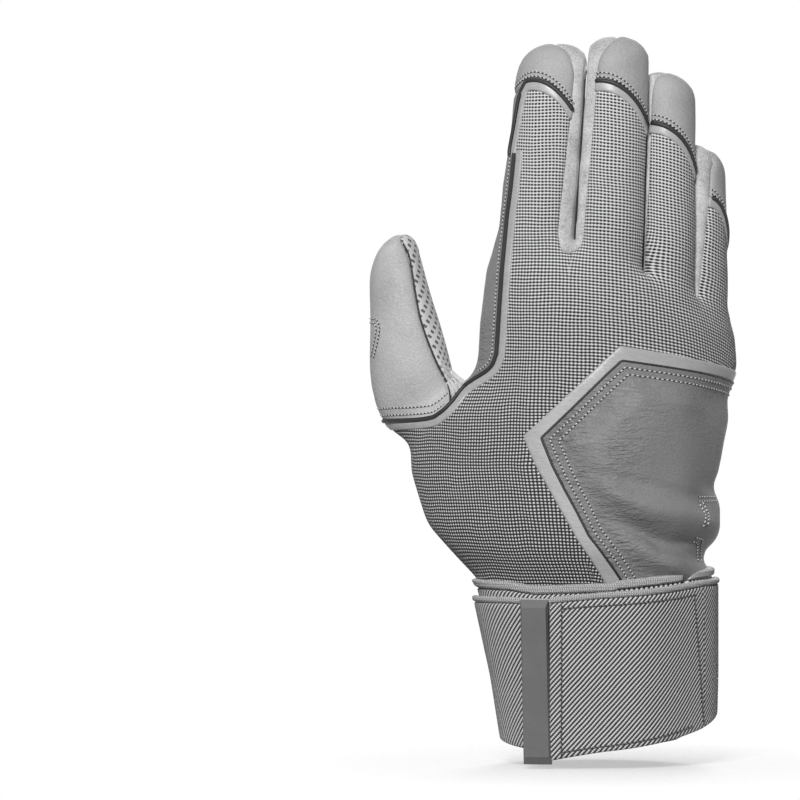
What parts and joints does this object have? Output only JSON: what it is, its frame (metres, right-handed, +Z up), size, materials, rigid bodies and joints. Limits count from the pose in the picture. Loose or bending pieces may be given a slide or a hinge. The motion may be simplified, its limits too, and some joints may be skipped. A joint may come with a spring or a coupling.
{
  "type": "batting glove",
  "caption": "Right-hand softball batting glove: sewn leather and stretch-fabric shell, padded back and a wide wrist strap with an opening flap.",
  "frame": {"origin": "middle of the cuff's mouth, level with the lowest edge of the strap's pull tab", "axes": "+Z up the fingers, -Y out of the back of the hand, +Y out of the palm, -X towards the thumb"},
  "size_m": [0.1318, 0.0596, 0.2495],
  "materials": {
    "woven_fabric": "woven stretch fabric, matt",
    "cap_leather": "smooth leather, satin",
    "thumb_leather": "smooth leather, satin",
    "dark_leather": "soft wrinkled leather, satin",
    "palm_leather": "printed thin leather, satin",
    "suede": "suede, matt",
    "gloss_tape": "synthetic leather tape, glossy",
    "binding_tape": "woven tape, matt",
    "twill": "ribbed twill elastic, matt",
    "loop_pile": "loop pile, matt",
    "hook": "nylon hooks, matt",
    "foam": "closed-cell foam, matt",
    "tab_rubber": "moulded rubber, satin"
  },
  "bodies": {
    "glove": {"back_panel": "woven_fabric", "index_tip_cap": "cap_leather", "middle_tip_cap": "cap_leather", "ring_tip_cap": "cap_leather", "little_tip_cap": "cap_leather", "thumb_back_panel": "thumb_leather", "index_side_panel": "dark_leather", "back_pad": "dark_leather", "heel_patch": "dark_leather", "palm_panel": "palm_leather", "fourchette_index_middle": "suede", "fourchette_middle_ring": "suede", "fourchette_ring_little": "suede", "little_side_panel": "suede", "thumb_gusset": "suede", "side_band": "gloss_tape", "middle_tip_band": "gloss_tape", "ring_tip_band": "gloss_tape", "little_tip_band": "gloss_tape", "back_pad_band": "gloss_tape", "wrist_binding": "binding_tape", "strap_binding": "binding_tape", "inner_cuff": "twill", "wrap_strap": "twill", "loop_patch": "loop_pile", "back_pad_foam": "foam"},
    "flap": {"strap_flap": "twill", "flap_binding": "binding_tape", "hook_patch": "hook", "pull_tab": "tab_rubber"}
  },
  "joints": [
    {"name": "flap_fold", "type": "hinge", "parent": "glove", "child": "flap", "pos_m": [0.029, -0.0192, 0.03], "axis": [0, 0, 1], "range_deg": [0, 150]}
  ]
}
